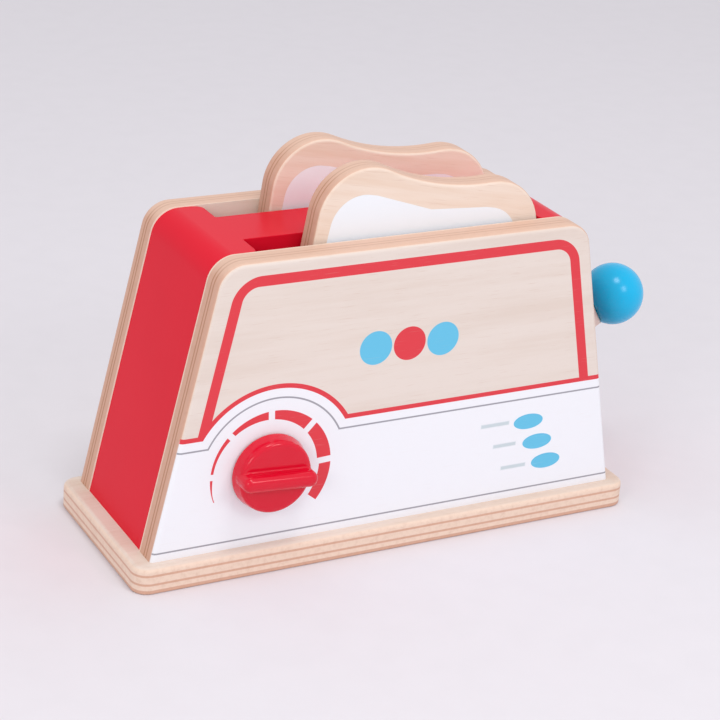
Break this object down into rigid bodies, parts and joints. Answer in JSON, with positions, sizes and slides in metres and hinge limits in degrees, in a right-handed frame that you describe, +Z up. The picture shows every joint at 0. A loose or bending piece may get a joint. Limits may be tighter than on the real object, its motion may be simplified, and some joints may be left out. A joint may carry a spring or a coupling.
{
  "type": "toy toaster",
  "caption": "Wooden toy toaster with slices of toast that rise when the ball on the side lever is pressed, and a turning dial.",
  "frame": {"origin": "centre of the base board's underside", "axes": "+X along the toaster towards the lever's ball, -Y out of the printed front, +Z up"},
  "size_m": [0.2658, 0.099, 0.169],
  "materials": {
    "base_ply": "pale birch plywood, clear satin lacquer",
    "panel_ply": "pale plywood panel with printed front, satin",
    "red_lacquer": "glossy red lacquer on wood",
    "inner_red": "thin red lacquer on plywood",
    "plain_wood": "bare beech",
    "lever_ply": "plywood, clear satin lacquer",
    "blue_lacquer": "glossy blue lacquer on wood",
    "toast_ply": "plywood slice with a pale printed crumb",
    "dial_red": "glossy red",
    "screw_steel": "zinc plated",
    "washer_fibre": "plain"
  },
  "bodies": {
    "case": {"base_plate": "base_ply", "front_panel": "panel_ply", "rear_panel": "panel_ply", "left_end_board": "red_lacquer", "right_end_board": "red_lacquer", "top_deck": "red_lacquer", "inner_wall_front": "inner_red", "inner_wall_rear": "inner_red", "panel_dowels": "plain_wood", "deck_dowels": "plain_wood", "base_screws": "screw_steel", "pivot_pin": "plain_wood", "pivot_washers": "plain_wood"},
    "lever": {"lever_arm": "lever_ply", "lever_ball": "blue_lacquer", "ball_dowel": "plain_wood"},
    "crossbar": {"lift_bar": "plain_wood"},
    "slice_front": {"toast_front": "toast_ply"},
    "slice_rear": {"toast_rear": "toast_ply"},
    "dial": {"dial_knob": "dial_red", "dial_screw": "screw_steel", "dial_washer": "washer_fibre"}
  },
  "joints": [
    {"name": "lever_rock", "type": "hinge", "parent": "case", "child": "lever", "pos_m": [0.075, 0, 0.0534], "axis": [0, 1, 0], "range_deg": [0, 24]},
    {"name": "crossbar_turn", "type": "hinge", "parent": "lever", "child": "crossbar", "pos_m": [0.00203, 0, 0.03789], "axis": [0, 1, 0], "range_deg": [-24, 0]},
    {"name": "slice_front_lift", "type": "slide", "parent": "crossbar", "child": "slice_front", "axis": [0, 0, 1], "range_m": [0, 0.11]},
    {"name": "slice_rear_lift", "type": "slide", "parent": "crossbar", "child": "slice_rear", "axis": [0, 0, 1], "range_m": [0, 0.11]},
    {"name": "dial_turn", "type": "hinge", "parent": "case", "child": "dial", "pos_m": [-0.0607, -0.04, 0.0459], "axis": [0, 1, 0], "continuous": true}
  ],
  "couplings": [
    {"joint": "crossbar_turn", "follows": "lever_rock", "ratio": -1}
  ]
}
